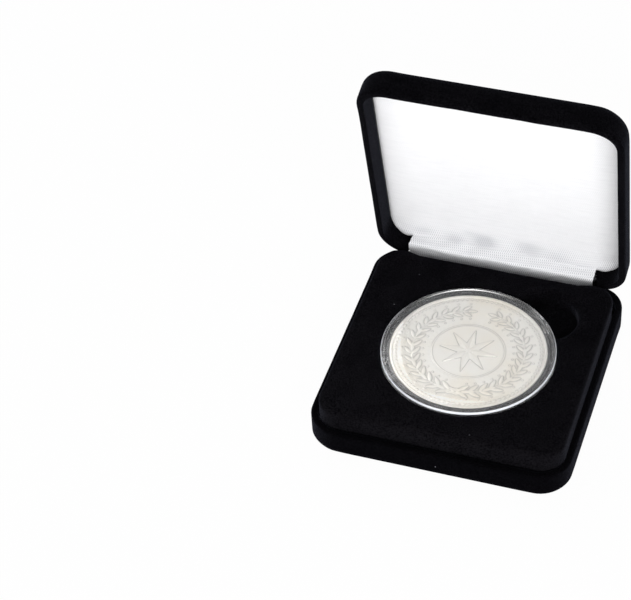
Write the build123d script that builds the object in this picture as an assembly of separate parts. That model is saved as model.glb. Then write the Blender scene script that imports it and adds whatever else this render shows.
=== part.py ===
from build123d import *
import math
import os

# Coin display case: a velour-covered base with a raised insert, a spring-hinged lid lined with
# satin, and a clear two-part capsule that holds one coin in the insert's round well.
# Millimetres. X is across the case, Y runs from the front to the hinge, Z is up.
# The origin is the middle of the base's underside. The lid is drawn shut, then swung open.

os.makedirs("parts", exist_ok=True)

# Driving dimensions: the case
case_width = 67.0
case_depth = 69.0
corner_radius = 7.8
shell_wall = 0.8
velour = 0.35
rim_fold = 0.6
base_height = 7.0
base_edge = 1.2
base_turn_in = 3.5
lid_height = 8.6
lid_edge = 3.9
ceiling_edge = 2.3
parting_gap = 0.3
open_angle = 77.4

# Driving dimensions: the lid's padded lining, from the ceiling down
pad_card = 0.6
pad_wadding = 0.5
satin = 0.2
card_border = 2.45
wadding_border = 1.15
satin_border = 0.65

# Driving dimensions: the insert and its well
insert_rise = 5.3
insert_edge = 1.2
insert_clearance = 0.2
trough_depth = 3.7
apron_relief = 1.1
well_x = 0.3
well_forward = 0.65
well_clearance = 0.35
floor_card = 1.2
card_clearance = 0.05
notch_radius = 8.6
notch_angle = 48.0
notch_web = 4.5
notch_depth = 4.6
notch_edge = 0.8

# Driving dimensions: the hinge
hinge_side = 8.5
knuckle_count = 5
knuckle_radius = 1.0
knuckle_gap = 0.2
leaf_thickness = 0.5
pin_radius = 0.5
pin_clearance = 0.05
pin_head = 0.3
pin_height = 3.3
hinge_clearance = 0.2
notch_side = 0.4
tongue_side = 0.6
leaf_foot = 0.35
spring_width = 7.0
spring_thickness = 0.3
spring_gap = 0.1
spring_foot = 1.2
rivet_shank = 0.4
rivet_head = 0.65
rivet_cap = 0.4
rivet_clearance = 0.05
base_rivet_rise = 3.0
rivet_inset = 4.5
inner_rivet_x = 6.5

# Driving dimensions: the apron of satin over the hinge
apron_side = 0.8
apron_thickness = 0.3
apron_tuck = 8.0

# Driving dimensions: the capsule and the coin
coin_radius = 20.3
coin_thickness = 2.98
coin_rim = 0.8
coin_field = 0.33
star_points = 8
star_radius = 7.6
star_waist = 2.9
star_height = 0.16
star_ring = 9.2
ring_line = 0.35
capsule_proud = 0.5
capsule_lid = 0.8
capsule_floor = 1.2
capsule_ring = 1.0
capsule_wall = 1.0
capsule_skirt = 2.1
capsule_edge = 0.3
coin_side_gap = 0.1
coin_top_gap = 0.15
ring_gap = 0.05

# Worked out: walls, as insets from the case's outer face
skin = velour
inner = velour + shell_wall
lining = inner + velour
back_face = case_depth / 2
floor_top = velour + shell_wall

# Worked out: the capsule's radii
ring_inner = coin_radius + coin_side_gap
ring_outer = ring_inner + capsule_ring
skirt_inner = ring_outer + ring_gap
capsule_radius = skirt_inner + capsule_wall

# Worked out: heights
lid_rim = base_height + parting_gap
lid_top = lid_rim + lid_height
ceiling = lid_top - velour - shell_wall
satin_face = ceiling - pad_card - pad_wadding - satin
lid_turn_in = satin_face - lid_rim + satin / 2
insert_top = base_height + insert_rise
capsule_top = insert_top + capsule_proud
coin_top = capsule_top - capsule_lid - coin_top_gap
coin_bottom = coin_top - coin_thickness
capsule_bottom = coin_bottom - capsule_floor
pocket_floor = capsule_bottom - velour - floor_card
cover_floor = capsule_top - capsule_lid
parting = capsule_top - capsule_skirt

# Worked out: the insert's outline and well
insert_width = case_width - 2 * (lining + insert_clearance)
insert_front = -back_face + lining + insert_clearance
insert_back = back_face - lining - trough_depth
insert_depth = insert_back - insert_front
insert_middle = (insert_back + insert_front) / 2
insert_corner = corner_radius - lining - insert_clearance
well_y = insert_middle - well_forward
well_radius = capsule_radius + well_clearance
notch_y = insert_back - apron_relief - notch_web - notch_radius
notch_x = well_x + (notch_y - well_y) / math.tan(math.radians(notch_angle))

# Worked out: the hinge
leaf_back = back_face - inner
leaf_front = leaf_back - leaf_thickness
pin_y = leaf_front + knuckle_radius
pin_z = base_height + pin_height
hinge_width = case_width - 2 * hinge_side
apron_width = hinge_width + 2 * apron_side
outer_rivet_x = hinge_width / 2 - rivet_inset
knuckle_pitch = (hinge_width + knuckle_gap) / knuckle_count
knuckle_length = knuckle_pitch - knuckle_gap
barrel_clearance = knuckle_radius + hinge_clearance
tongue_half = hinge_width / 2 + tongue_side
tongue_top = pin_z - barrel_clearance
hinge_notch_half = tongue_half + notch_side
hinge_notch_top = pin_z + barrel_clearance
lid_leaf_top = satin_face - hinge_clearance
lid_rivet_z = (hinge_notch_top + velour + lid_leaf_top) / 2
base_rivet_z = floor_top + base_rivet_rise

hinge_axis = Axis((0, pin_y, pin_z), (-1, 0, 0))


def slab(inset, z_low, z_high):
    """The case's rounded-square outline, drawn in by inset, between two heights."""
    outline = RectangleRounded(case_width - 2 * inset, case_depth - 2 * inset, corner_radius - inset)
    return Pos(0, 0, z_low) * extrude(outline, z_high - z_low)


def box(x_half, y_low, y_high, z_low, z_high):
    """A block centred on X."""
    centre = Pos(0, (y_low + y_high) / 2, (z_low + z_high) / 2)
    return centre * Box(2 * x_half, y_high - y_low, z_high - z_low)


def round_z(solid, radius, top=True):
    """Round the highest or the lowest level edges of a solid."""
    level = -1 if top else 0
    return fillet(solid.edges().group_by(Axis.Z)[level], radius)


def tube(radius, bore, x_low, x_high):
    """A tube along X on the hinge pin's line."""
    placed = Pos((x_low + x_high) / 2, pin_y, pin_z) * Rot(0, 90, 0)
    return placed * (Cylinder(radius, x_high - x_low) - Cylinder(bore, x_high - x_low))


def disc(radius, z_low, z_high, x=well_x, y=well_y):
    """An upright cylinder, by default on the well's centre."""
    return Pos(x, y, (z_low + z_high) / 2) * Cylinder(radius, z_high - z_low)


def swing_open(solid):
    """Turn a piece of the lid from shut to its rest position."""
    return solid.rotate(hinge_axis, open_angle)


def opened(y, z):
    """Where a point of the shut lid lies, in Y and Z, once the lid is open."""
    turn = math.radians(open_angle)
    back = (y - pin_y) * math.cos(turn) + (z - pin_z) * math.sin(turn)
    up = (z - pin_z) * math.cos(turn) - (y - pin_y) * math.sin(turn)
    return pin_y + back, pin_z + up


def rivets(x_places, y_face, z_place, cap_side_y):
    """Rivets along Y: a flat cap in front and a shank through to the shell's outer face."""
    solids = []
    for x in x_places:
        cap = Pos(x, cap_side_y - rivet_cap / 2, z_place) * Rot(90, 0, 0) * Cylinder(rivet_head, rivet_cap)
        length = y_face - cap_side_y
        shank = Pos(x, cap_side_y + length / 2, z_place) * Rot(90, 0, 0) * Cylinder(rivet_shank, length)
        solids.append(cap + shank)
    return solids


def rivet_holes(x_places, z_place):
    """The clearance holes for those rivets, through the leaf and the shell."""
    holes = []
    for x in x_places:
        middle = (leaf_front + back_face - velour) / 2
        length = back_face - velour - leaf_front + 2 * spring_thickness
        hole = Cylinder(rivet_shank + rivet_clearance, length)
        holes.append(Pos(x, middle, z_place) * Rot(90, 0, 0) * hole)
    return holes


def knuckle_span(index):
    """The X range of one knuckle, counted from the left."""
    left = -hinge_width / 2 + index * knuckle_pitch
    return left, left + knuckle_length


base_rivet_x = [-outer_rivet_x, -knuckle_pitch, knuckle_pitch, outer_rivet_x]
lid_rivet_x = [-outer_rivet_x, -inner_rivet_x, inner_rivet_x, outer_rivet_x]


# The base: a moulded tray with a raised tongue under the hinge, wrapped in velour
def make_base_shell():
    tray = round_z(slab(skin, velour, base_height - velour), base_edge - velour, top=False)
    tongue = box(tongue_half - velour, back_face - inner, back_face - skin, floor_top, tongue_top - velour)
    tray = tray - slab(inner, floor_top, base_height) + tongue
    return tray - rivet_holes(base_rivet_x, base_rivet_z)


def make_base_velour(shell):
    wrap = round_z(slab(0, 0, base_height), base_edge, top=False)
    wrap -= slab(lining, base_height - base_turn_in, base_height + 1)
    wrap = round_z(wrap, rim_fold)
    wrap += box(tongue_half, back_face - lining, back_face, base_height - rim_fold, tongue_top)
    wrap -= slab(inner, floor_top, base_height - base_turn_in)
    wrap -= box(tongue_half, back_face - lining - 1, back_face - inner, floor_top, tongue_top + 1)
    filled = shell + rivets(base_rivet_x, back_face - skin, base_rivet_z, back_face - inner)
    return wrap - filled


# The lid, drawn shut: a moulded shell with a notch and a flat seat for the hinge, wrapped in velour
def lid_cavity():
    return round_z(slab(inner, lid_rim - 1, ceiling), ceiling_edge)


def make_lid_shell():
    shell = round_z(slab(skin, lid_rim + velour, lid_top - velour), lid_edge - velour) - lid_cavity()
    notch_half = hinge_notch_half + velour
    shell -= box(notch_half, back_face - lining, back_face, lid_rim, hinge_notch_top + velour)
    shell -= box(notch_half, leaf_front, leaf_back, lid_rim, lid_leaf_top)
    return shell - rivet_holes(lid_rivet_x, lid_rivet_z)


def make_lid_velour(shell):
    wrap = round_z(slab(0, lid_rim, lid_top), lid_edge)
    wrap -= slab(lining, lid_rim - 1, lid_rim + lid_turn_in)
    wrap = round_z(wrap, rim_fold, top=False)
    wrap -= lid_cavity() - slab(0, lid_rim - 2, lid_rim + lid_turn_in)
    wrap -= box(hinge_notch_half, back_face - lining - 1, back_face + 1, lid_rim - 1, hinge_notch_top)
    wrap -= box(hinge_notch_half, back_face - lining - 1, back_face - inner, lid_rim, ceiling)
    filled = shell + rivets(lid_rivet_x, back_face - skin, lid_rivet_z, back_face - inner)
    return wrap - filled


# The lid's lining: a card under the ceiling, a layer of wadding, and the satin over both
def lining_layer(border, z_low, z_high):
    return slab(inner + border, z_low, z_high)


# The insert: a block with a round well and a thumb notch, covered with velour
def insert_form(inset, well_floor):
    outline = RectangleRounded(insert_width - 2 * inset, insert_depth - 2 * inset, insert_corner - inset)
    top = insert_top - inset
    form = Pos(0, insert_middle, floor_top) * extrude(outline, top - floor_top)
    relief = insert_back - apron_relief - inset
    form -= box(apron_width / 2 + insert_clearance + inset, relief, insert_back + 1, floor_top, top)
    form = round_z(form, insert_edge - inset)
    notch_floor = insert_top - notch_depth - inset
    form -= disc(notch_radius + inset, notch_floor, top + 1, notch_x, notch_y)
    rim = form.edges().filter_by(GeomType.CIRCLE).filter_by(lambda edge: edge.radius == notch_radius + inset)
    form = fillet(rim.group_by(Axis.Z)[-1], notch_edge)
    return form - disc(well_radius + inset, well_floor, top + 1)


def make_well_lining():
    ring = disc(well_radius + velour, capsule_bottom, insert_top - velour)
    ring -= disc(well_radius, capsule_bottom, insert_top)
    return ring - disc(notch_radius + velour, insert_top - notch_depth - velour, insert_top, notch_x, notch_y)


def make_insert_velour(block, well_lining):
    cover = insert_form(0, capsule_bottom - velour - floor_card)
    return cover - block - well_lining - disc(well_radius + velour, pocket_floor, capsule_bottom)


# The hinge: two steel leaves with rolled knuckles, a pin, and two flat springs
def hinge_leaf(turns, z_low, z_high, rivet_x, rivet_z):
    """A leaf that owns the knuckles numbered in turns, between two heights."""
    leaf = box(hinge_width / 2, leaf_front, leaf_back, z_low, z_high)
    for index in range(knuckle_count):
        left, right = knuckle_span(index)
        if index in turns:
            leaf += Pos((left + right) / 2, 0, 0) * box(
                knuckle_length / 2, leaf_front, leaf_back, min(z_low, pin_z), max(z_high, pin_z))
            leaf += tube(knuckle_radius, pin_radius + pin_clearance, left, right)
    bore = Pos(0, pin_y, pin_z) * Rot(0, 90, 0) * Cylinder(pin_radius + pin_clearance, hinge_width + 2)
    return leaf - bore - rivet_holes(rivet_x, rivet_z)


def make_pin():
    reach = hinge_width / 2 + knuckle_gap
    pin = Pos(0, pin_y, pin_z) * Rot(0, 90, 0) * Cylinder(pin_radius, 2 * reach)
    for side in (-1, 1):
        head = Cylinder(pin_radius + pin_head, pin_head)
        pin += Pos(side * (reach + pin_head / 2), pin_y, pin_z) * Rot(0, 90, 0) * head
    return pin


def make_springs():
    springs = []
    for side in (-1, 1):
        strip = box(spring_width / 2, leaf_front - spring_thickness, leaf_front,
                    floor_top + spring_foot, pin_z)
        strip -= box(spring_width, leaf_front - spring_gap, leaf_front, tongue_top - 1, pin_z + 1)
        springs.append(Pos(side * knuckle_pitch, 0, 0) * strip)
    holes = rivet_holes(base_rivet_x, base_rivet_z)
    return [spring - holes for spring in springs]


def make_base_rivets():
    plain = rivets([-outer_rivet_x, outer_rivet_x], back_face - skin, base_rivet_z, leaf_front)
    sprung = rivets([-knuckle_pitch, knuckle_pitch], back_face - skin, base_rivet_z,
                    leaf_front - spring_thickness)
    return plain + sprung


# The apron: the satin's lower end, over the hinge and down behind the insert
def make_apron():
    tuck_y = insert_back - apron_relief / 2
    path = FilletPolyline(
        opened(leaf_front - rivet_cap - apron_thickness, satin_face - apron_thickness),
        opened(leaf_front - rivet_cap - apron_thickness, lid_rivet_z - rivet_head),
        (pin_y - knuckle_radius, pin_z + barrel_clearance + apron_thickness),
        (tuck_y, insert_top - insert_edge - 2 * apron_thickness),
        (tuck_y, insert_top - insert_edge - apron_tuck),
        radius=1.0)
    strip = trace(path, apron_thickness)
    plane = Plane(origin=(-apron_width / 2, 0, 0), x_dir=(0, 1, 0), z_dir=(1, 0, 0))
    return extrude(plane * strip, apron_width)


# The capsule: a dish with a ring that hugs the coin, and a cover whose skirt fits over the ring
def make_capsule_base():
    dish = disc(capsule_radius, capsule_bottom, parting)
    dish = chamfer(dish.edges().group_by(Axis.Z)[0], capsule_edge)
    dish += disc(ring_outer, parting, cover_floor)
    return dish - disc(ring_inner, coin_bottom, capsule_top)


def make_capsule_cover():
    cover = disc(capsule_radius, parting, capsule_top)
    cover = chamfer(cover.edges().group_by(Axis.Z)[-1], capsule_edge)
    return cover - disc(skirt_inner, parting - 1, cover_floor)


def make_star(z_low):
    """The raised star and the ring line round it, in the middle of the coin's upper field."""
    corners = []
    for index in range(2 * star_points):
        radius = star_radius if index % 2 == 0 else star_waist
        angle = math.pi * index / star_points
        corners.append((well_x + radius * math.sin(angle), well_y + radius * math.cos(angle)))
    star = Pos(0, 0, z_low) * extrude(make_face(Polyline(*corners, close=True)), star_height)
    ring = disc(star_ring + ring_line, z_low, z_low + star_height)
    return star + ring - disc(star_ring, z_low, z_low + 1) + star


def make_coin():
    coin = disc(coin_radius, coin_bottom, coin_top)
    coin -= disc(coin_radius - coin_rim, coin_top - coin_field, coin_top + 1)
    coin -= disc(coin_radius - coin_rim, coin_bottom - 1, coin_bottom + coin_field)
    return coin + make_star(coin_top - coin_field)


base_knuckles = range(0, knuckle_count, 2)
lid_knuckles = range(1, knuckle_count, 2)

base_shell = make_base_shell()
lid_shell = make_lid_shell()
insert_block = insert_form(velour, pocket_floor)
well_lining = make_well_lining()

base_nodes = {
    "base_shell": base_shell,
    "base_velour": make_base_velour(base_shell),
    "insert_block": insert_block,
    "insert_velour": make_insert_velour(insert_block, well_lining),
    "well_lining": well_lining,
    "well_floor_card": disc(well_radius + velour - card_clearance, pocket_floor, capsule_bottom - velour),
    "well_floor_velour": disc(well_radius - card_clearance, capsule_bottom - velour, capsule_bottom),
    "hinge_base_leaf": hinge_leaf(base_knuckles, floor_top + leaf_foot, tongue_top,
                                  base_rivet_x, base_rivet_z),
    "hinge_pin": make_pin(),
    "hinge_springs": make_springs(),
    "base_leaf_rivets": make_base_rivets(),
    "satin_apron": make_apron(),
}

lid_nodes = {
    "lid_shell": lid_shell,
    "lid_velour": make_lid_velour(lid_shell),
    "lid_pad_card": lining_layer(card_border, ceiling - pad_card, ceiling),
    "lid_pad_wadding": lining_layer(wadding_border, satin_face + satin, ceiling - pad_card),
    "lid_satin": lining_layer(satin_border, satin_face, satin_face + satin),
    "hinge_lid_leaf": hinge_leaf(lid_knuckles, hinge_notch_top, lid_leaf_top, lid_rivet_x, lid_rivet_z),
    "lid_leaf_rivets": rivets(lid_rivet_x, back_face - skin, lid_rivet_z, leaf_front),
}

capsule_nodes = {
    "capsule_base": make_capsule_base(),
    "capsule_cover": make_capsule_cover(),
    "coin": make_coin(),
}


def save(name, piece):
    """Write one node; a node of several equal pieces becomes one compound."""
    solid = Compound(children=piece) if isinstance(piece, list) else piece
    export_step(solid, f"parts/{name}.step")


for name, piece in {**base_nodes, **capsule_nodes}.items():
    save(name, piece)

for name, piece in lid_nodes.items():
    pieces = piece if isinstance(piece, list) else [piece]
    save(name, [swing_open(part) for part in pieces])
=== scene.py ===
import math

import bpy
import numpy as np
from mathutils import Matrix, Vector


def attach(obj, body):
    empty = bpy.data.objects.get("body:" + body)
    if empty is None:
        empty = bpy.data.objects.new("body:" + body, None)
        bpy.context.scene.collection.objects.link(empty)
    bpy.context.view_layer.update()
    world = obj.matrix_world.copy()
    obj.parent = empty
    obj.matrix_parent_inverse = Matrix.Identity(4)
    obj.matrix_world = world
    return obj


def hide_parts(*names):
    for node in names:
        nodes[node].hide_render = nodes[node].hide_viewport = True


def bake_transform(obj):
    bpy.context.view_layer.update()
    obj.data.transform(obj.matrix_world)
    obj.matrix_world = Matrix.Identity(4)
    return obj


# Coin display case: velour-wrapped base and lid, satin lining, a coin in a clear capsule.
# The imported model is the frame. Pieces are drawn in millimetres and scaled to metres at the end.
# Lid pieces are drawn shut, then turned open about the hinge pin.
# In x, y, z = points.T each name is a view of the points: adding to it moves the points.

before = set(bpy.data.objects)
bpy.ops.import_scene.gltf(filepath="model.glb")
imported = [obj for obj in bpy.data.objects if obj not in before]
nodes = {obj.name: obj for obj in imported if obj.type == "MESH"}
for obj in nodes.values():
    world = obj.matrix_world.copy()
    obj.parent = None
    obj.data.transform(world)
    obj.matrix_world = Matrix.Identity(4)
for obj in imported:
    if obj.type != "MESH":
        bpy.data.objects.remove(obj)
scene = bpy.context.scene
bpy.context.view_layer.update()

MM = 0.001

# The case, in millimetres
CASE_HALF_X = 33.5
CASE_HALF_Y = 34.5
CASE_CORNER = 7.8
BASE_RIM = 7.0
LID_RIM = 7.3
LID_TOP = 15.9
SATIN_FACE = 13.45
OPEN_ANGLE = math.radians(77.4)
PIN_Y = 33.85
PIN_Z = 10.3

# The insert, in millimetres
INSERT_TOP = 12.3
INSERT_HALF_X = 31.8
INSERT_FRONT = -32.6
INSERT_BACK = 29.3
INSERT_CORNER = 6.1
RELIEF_DEPTH = 1.1
WELL = (0.3, -2.4)
WELL_RADIUS = 22.8
NOTCH = (16.06, 15.1)
NOTCH_RADIUS = 8.6
NOTCH_FLOOR = 7.7

# The coin's two faces, in millimetres
COIN_TOP = 11.85
COIN_BOTTOM = 8.87


# ---------- mesh helpers

# Extra turns in degrees in the two back corners, next to the ends of the hinge's slot
BACK_TURNS = {0: [86.4, 87.6, 88.8], 1: [1.2, 2.4, 3.6]}
# A random field adds up this many waves, and their sum is divided to stay mostly within -1 and 1
WAVE_COUNT = 14
WAVE_SHARE = 5.0


def add_object(name, data):
    made = bpy.data.objects.new(name, data)
    scene.collection.objects.link(made)
    return made


def swing_open(points):
    """Turn points of the shut lid to where they are when it stands open."""
    points = np.asarray(points, float).reshape(-1, 3)
    cos, sin = math.cos(OPEN_ANGLE), math.sin(OPEN_ANGLE)
    y = points[:, 1] - PIN_Y
    z = points[:, 2] - PIN_Z
    turned = points.copy()
    turned[:, 1] = PIN_Y + y * cos + z * sin
    turned[:, 2] = PIN_Z + z * cos - y * sin
    return turned


def make_piece(name, points, faces, material, smooth_angle=None):
    """A mesh object from points in millimetres."""
    mesh = bpy.data.meshes.new(name)
    mesh.from_pydata((np.asarray(points, float) * MM).tolist(), [], faces)
    mesh.polygons.foreach_set("use_smooth", [True] * len(mesh.polygons))
    if smooth_angle is not None:
        mesh.set_sharp_from_angle(angle=math.radians(smooth_angle))
    mesh.materials.append(material)
    return add_object(name, mesh)


def skin_faces(rings, around, close_start=False, close_end=False):
    """Quads between successive closed rings. Either end may be closed by a fan to a point after them."""
    faces = []
    for ring in range(rings - 1):
        low = ring * around
        high = low + around
        for i in range(around):
            j = (i + 1) % around
            faces.append((low + i, low + j, high + j, high + i))
    total = rings * around
    if close_start:
        faces += [((i + 1) % around, i, total) for i in range(around)]
        total += 1
    if close_end:
        last = (rings - 1) * around
        faces += [(last + i, last + (i + 1) % around, total) for i in range(around)]
    return faces


def skin_piece(name, rings, material, first, last, smooth_angle=None):
    """A closed skin over rings of points, with a middle point at either end."""
    faces = skin_faces(len(rings), len(rings[0]), True, True)
    return make_piece(name, np.vstack([*rings, first, last]), faces, material, smooth_angle)


def rounded_outline(half_x, half_y, radius, corner_steps=12, side_steps=24, back_places=None):
    """Corner centres, outward normals and the radius of a rounded rectangle, anticlockwise.

    back_places are the x of the columns along the back side, which the hinge's slot needs finer.
    """
    reach = np.array([half_x - radius, half_y - radius])
    corners = np.array([(1, 1), (-1, 1), (-1, -1), (1, -1)])
    cores = []
    angles = []
    for index, corner in enumerate(corners):
        turns = [step / corner_steps * 90 for step in range(corner_steps + 1)]
        parts = [step / side_steps for step in range(1, side_steps)]
        if back_places:
            turns += BACK_TURNS.get(index, [])
            if index == 0:
                parts = [(1 - x / reach[0]) / 2 for x in back_places]
        start = index * math.pi / 2
        side = corners[(index + 1) % 4] - corner
        cores += [reach * corner for _ in turns]
        cores += [reach * (corner + side * part) for part in parts]
        angles += [start + math.radians(turn) for turn in sorted(turns)]
        angles += [start + math.pi / 2 for _ in parts]
    return np.array(cores), np.column_stack([np.cos(angles), np.sin(angles)]), radius


def level_ring(flat, z):
    """Flat points with one height for all, or one for each."""
    return np.column_stack([flat, np.broadcast_to(np.asarray(z, float), len(flat))])


def ring_at(outline, inset, z):
    """The outline drawn in by inset, at one height."""
    cores, normals, radius = outline
    return level_ring(cores + normals * (radius - inset), z)


def arc(centre_a, centre_b, radius, start, end, steps):
    """Points of an arc in a section plane, as (a, b) pairs, angles in degrees."""
    angles = np.radians(np.linspace(start, end, steps + 1))
    return [(centre_a + radius * math.cos(t), centre_b + radius * math.sin(t)) for t in angles]


def smooth_step(value, low, high):
    part = np.clip((np.asarray(value, float) - low) / (high - low), 0, 1)
    return part * part * (3 - 2 * part)


def waves(points, size, seed):
    """A soft random field from -1 to 1 over points, with features of about the given size."""
    generator = np.random.default_rng(seed)
    total = np.zeros(len(points))
    for _ in range(WAVE_COUNT):
        direction = generator.normal(size=3)
        direction /= np.linalg.norm(direction)
        pitch = size * generator.uniform(0.7, 1.6)
        total += np.sin(points @ direction * (2 * math.pi / pitch) + generator.uniform(0, 6.283))
    return total / WAVE_SHARE


def bell(value, middle, width):
    """A soft bump of height 1 about a middle."""
    return np.exp(-((value - middle) / width) ** 2)


def mark_points(piece, name, values):
    """Note a value from 0 to 1 on every point of a mesh, for its material to read."""
    layer = piece.data.attributes.new(name, "FLOAT", "POINT")
    layer.data.foreach_set("value", np.asarray(values, np.float32))


# ---------- material helpers

def set_inputs(tree, node, inputs):
    """Set a node's inputs to values, or link them to sockets."""
    for key, value in inputs.items():
        if isinstance(value, bpy.types.NodeSocket):
            tree.links.new(value, node.inputs[key])
        else:
            node.inputs[key].default_value = value


def empty_tree(owner):
    """The node tree of a new material or world, with nothing in it."""
    owner.use_nodes = True
    owner.node_tree.nodes.clear()
    return owner.node_tree


def new_material(name, inputs):
    """A material with one Principled shader and its plain values."""
    material = bpy.data.materials.new(name)
    tree = empty_tree(material)
    shader = tree.nodes.new("ShaderNodeBsdfPrincipled")
    output = tree.nodes.new("ShaderNodeOutputMaterial")
    tree.links.new(shader.outputs[0], output.inputs["Surface"])
    set_inputs(tree, shader, inputs)
    return material, tree, shader


def add_node(tree, kind, inputs=None, **settings):
    """A node with its settings, and its inputs set to values or linked to sockets."""
    made = tree.nodes.new(kind)
    for key, value in settings.items():
        setattr(made, key, value)
    set_inputs(tree, made, inputs or {})
    return made


def object_place(tree):
    return add_node(tree, "ShaderNodeTexCoord").outputs["Object"]


def noise(tree, place, scale, detail=2.0, roughness=0.5, distortion=0.0):
    made = add_node(tree, "ShaderNodeTexNoise", {"Vector": place, "Scale": scale, "Detail": detail,
                                                 "Roughness": roughness, "Distortion": distortion})
    return made.outputs["Fac"]


def spread(tree, value, low, high, to_low=0.0, to_high=1.0):
    made = add_node(tree, "ShaderNodeMapRange", {"Value": value, "From Min": low, "From Max": high,
                                                 "To Min": to_low, "To Max": to_high})
    return made.outputs["Result"]


def maths(tree, operation, a, b=0.0):
    made = add_node(tree, "ShaderNodeMath", {0: a, 1: b}, operation=operation)
    return made.outputs[0]


def mix_colour(tree, factor, a, b):
    made = add_node(tree, "ShaderNodeMix", {0: factor, 6: a, 7: b}, data_type="RGBA")
    return made.outputs[2]


def add_bump(tree, shader, height, strength, distance):
    bump = add_node(tree, "ShaderNodeBump", {"Strength": strength, "Distance": distance, "Height": height})
    set_inputs(tree, shader, {"Normal": bump.outputs[0]})


# ---------- materials

VELOUR_DARK = (0.0007, 0.0006, 0.0009, 1)
LINT_COLOUR = (0.20, 0.20, 0.22, 1)
LINT_SHARE = 0.6
TUFT_SCALE = 3200.0
PATCH_SCALE = 140.0
# Where along the case, in metres, the velour's painted light and shade from front to back starts and ends
SHADE_RAMP_FRONT = -0.033
SHADE_RAMP_BACK = 0.028

# The weave's bands repeat every pi / (10 * scale) millimetres, and run a little askew
WARP_SCALE = 0.593
WEFT_SCALE = 0.48
WEAVE_TURN = math.radians(4)
SATIN_FLOAT = (0.97, 0.97, 0.975, 1)
SATIN_GAP = (0.87, 0.87, 0.89, 1)
# Painted shade: the weave's gaps darken to this grey towards the hinge, where the satin turns down into the
# shade behind the insert, and in the painted shade patches
SATIN_SHADED_GAP = (0.30, 0.305, 0.33, 1)
# Slubs at random and the painted shade patches dull the satin towards this grey
SATIN_DULL_SHADE = (0.52, 0.525, 0.55, 1)

ACRYLIC_CLEAR = (0.997, 0.998, 1.0, 1)
# A painted highlight in white on the capsule cover's edge band, and painted shade in grey on its inner side
ACRYLIC_HIGHLIGHT = (0.93, 0.95, 1.0, 1)
ACRYLIC_INSIDE_SHADE = (0.35, 0.37, 0.41, 1)
FINE_HAZE = (900.0, 3.0, 0.45)
BROAD_HAZE = (160.0, 1.0, 0.4)


def make_pile_group():
    """The nap of velour: fine fibre tufts, patches of lighter and darker pile at random, and a few pale
    specks of lint.
    """
    group = bpy.data.node_groups.new("velour_pile", "ShaderNodeTree")
    for label in ("Shade", "Lint", "Height"):
        group.interface.new_socket(label, in_out="OUTPUT", socket_type="NodeSocketFloat")
    place = object_place(group)
    tufts = noise(group, place, TUFT_SCALE, 3.0, 0.65)
    patches = noise(group, place, PATCH_SCALE, 2.0, 0.5, 0.6)
    tuft_shade = spread(group, tufts, 0.40, 0.62)
    patch_shade = spread(group, patches, 0.35, 0.65, 0.75, 1.25)
    specks = add_node(group, "ShaderNodeTexVoronoi", {"Vector": place, "Scale": 210.0})
    near = spread(group, specks.outputs["Distance"], 0.024, 0.052, 1.0, 0.0)
    chance = spread(group, noise(group, place, 95.0, 1.0), 0.56, 0.60)
    lint = maths(group, "MULTIPLY", maths(group, "MULTIPLY", near, chance), LINT_SHARE)
    shade = maths(group, "MULTIPLY", tuft_shade, patch_shade)
    add_node(group, "NodeGroupOutput", {"Shade": shade, "Lint": lint, "Height": tufts})
    return group


def make_velour(name, light, front, back):
    """Black velour whose colour is scaled by front at the front and by back at the back: painted light
    where a factor is above 1, painted shade where it is below.
    """
    material, tree, shader = new_material(name, {
        "Roughness": 0.95, "Specular IOR Level": 0.0,
        "Sheen Weight": 0.058, "Sheen Roughness": 0.35, "Sheen Tint": (0.75, 0.78, 1.0, 1)})
    pile = add_node(tree, "ShaderNodeGroup", node_tree=pile_group)
    along = add_node(tree, "ShaderNodeSeparateXYZ", {0: object_place(tree)}).outputs["Y"]
    # Painted light and shade: the colour ramps from the front factor to the back factor along y
    front_back_paint = spread(tree, along, SHADE_RAMP_FRONT, SHADE_RAMP_BACK, front, back)
    colour = mix_colour(tree, maths(tree, "MULTIPLY", pile.outputs["Shade"], front_back_paint), VELOUR_DARK, light)
    colour = mix_colour(tree, pile.outputs["Lint"], colour, LINT_COLOUR)
    set_inputs(tree, shader, {"Base Color": colour})
    add_bump(tree, shader, pile.outputs["Height"], 0.7, 0.00022)
    return material


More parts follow.
